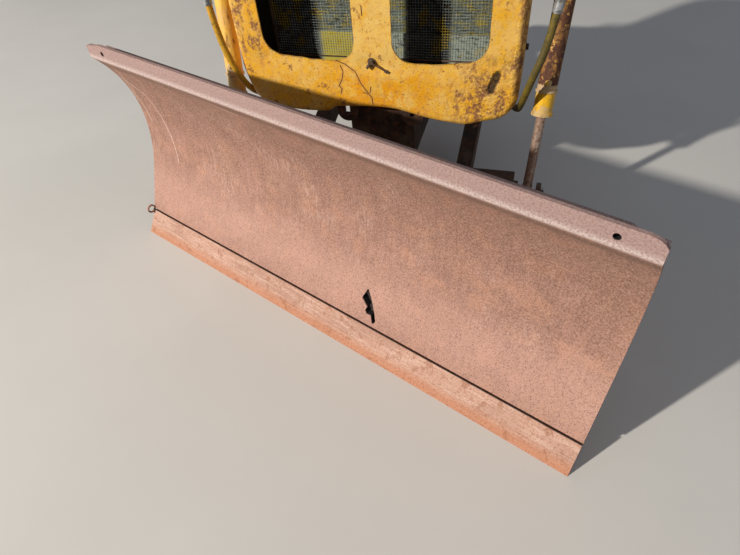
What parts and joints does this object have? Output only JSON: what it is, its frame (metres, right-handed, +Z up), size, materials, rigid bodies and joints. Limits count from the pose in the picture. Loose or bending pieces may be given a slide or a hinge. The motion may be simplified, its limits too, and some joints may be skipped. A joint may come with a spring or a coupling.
{
  "type": "angled dozer blade and front end",
  "caption": "Front end of a small crawler dozer: rusty curved blade on a push frame that lifts and angles, lift cylinders with hoses, and a meshed radiator guard on frame rails.",
  "frame": {"origin": "centre of the four bolt holes on the rear face of the bulkhead", "axes": "+Z up, -Y forwards to the blade, +X to the operator's left"},
  "size_m": [1.7802, 2.0974, 1.35],
  "materials": {
    "rusted_plate": "even brown rust, ground smooth in streaks",
    "yellow_paint": "sun-bleached enamel, chipped to rust",
    "worn_yellow": "thin enamel over bare steel",
    "dark_steel": "oily dirt over rust",
    "rod_chrome": "dull, pitted",
    "wire_mesh": "grey wire with flakes of paint",
    "radiator_core": "matt black fins",
    "hose_cover": "overpainted rubber",
    "zinc_fitting": "zinc plated"
  },
  "bodies": {
    "root": {"front_cross_member": "yellow_paint", "tow_lugs": "dark_steel", "main_rail_left": "yellow_paint", "main_rail_right": "yellow_paint", "bulkhead": "yellow_paint", "belly_pan": "dark_steel", "radiator_guard": "yellow_paint", "radiator": "radiator_core", "mesh_left": "wire_mesh", "mesh_right": "wire_mesh", "cylinder_bracket_left": "yellow_paint", "trunnion_left": "dark_steel", "feed_tube_left": "zinc_fitting", "hose_left": "hose_cover", "hose_fitting_left": "zinc_fitting", "cylinder_bracket_right": "yellow_paint", "trunnion_right": "dark_steel", "feed_tube_right": "zinc_fitting", "hose_right": "hose_cover", "hose_fitting_right": "zinc_fitting"},
    "push_frame": {"cross_beam": "dark_steel", "push_arm_left": "dark_steel", "push_arm_right": "dark_steel", "rod_lug_left": "dark_steel", "rod_lug_right": "dark_steel", "push_nose": "dark_steel", "king_pin": "dark_steel", "clamp_bolt": "dark_steel"},
    "blade": {"mouldboard": "rusted_plate", "lip_strip": "rusted_plate", "cutting_edge": "rusted_plate", "backing_bar": "rusted_plate", "lip_stiffener": "rusted_plate", "back_ribs_left": "rusted_plate", "back_ribs_right": "rusted_plate", "back_bar": "rusted_plate", "pivot_ear_low": "rusted_plate", "pivot_ear_high": "rusted_plate", "pivot_webs": "rusted_plate"},
    "barrel_left": {"barrel_left": "yellow_paint", "gland_left": "worn_yellow"},
    "rod_left": {"rod_left": "rod_chrome"},
    "barrel_right": {"barrel_right": "yellow_paint", "gland_right": "worn_yellow"},
    "rod_right": {"rod_right": "rod_chrome"}
  },
  "joints": [
    {"name": "lift", "type": "hinge", "parent": "root", "child": "push_frame", "pos_m": [0, -0.1, -0.14], "axis": [-1, 0, 0], "range_deg": [-5, 12]},
    {"name": "blade_angle", "type": "hinge", "parent": "push_frame", "child": "blade", "pos_m": [0, -1.567, -0.3], "axis": [0, 0, 1], "range_deg": [-2.7, 47.3]},
    {"name": "barrel_swing_left", "type": "hinge", "parent": "root", "child": "barrel_left", "pos_m": [0.616, -0.83, 0.55], "axis": [-1, 0, 0], "range_deg": [-2.5, 6]},
    {"name": "rod_slide_left", "type": "slide", "parent": "barrel_left", "child": "rod_left", "axis": [-0.0383, -0.2449, -0.9688], "range_m": [-0.19, 0.08]},
    {"name": "barrel_swing_right", "type": "hinge", "parent": "root", "child": "barrel_right", "pos_m": [-0.616, -0.83, 0.55], "axis": [-1, 0, 0], "range_deg": [-2.5, 6]},
    {"name": "rod_slide_right", "type": "slide", "parent": "barrel_right", "child": "rod_right", "axis": [0.0383, -0.2449, -0.9688], "range_m": [-0.19, 0.08]}
  ],
  "couplings": [
    {"joint": "barrel_swing_left", "follows": "lift", "ratio": 0.4755},
    {"joint": "rod_slide_left", "follows": "lift", "m_per_rad": -0.8916},
    {"joint": "barrel_swing_right", "follows": "lift", "ratio": 0.4755},
    {"joint": "rod_slide_right", "follows": "lift", "m_per_rad": -0.8916}
  ]
}
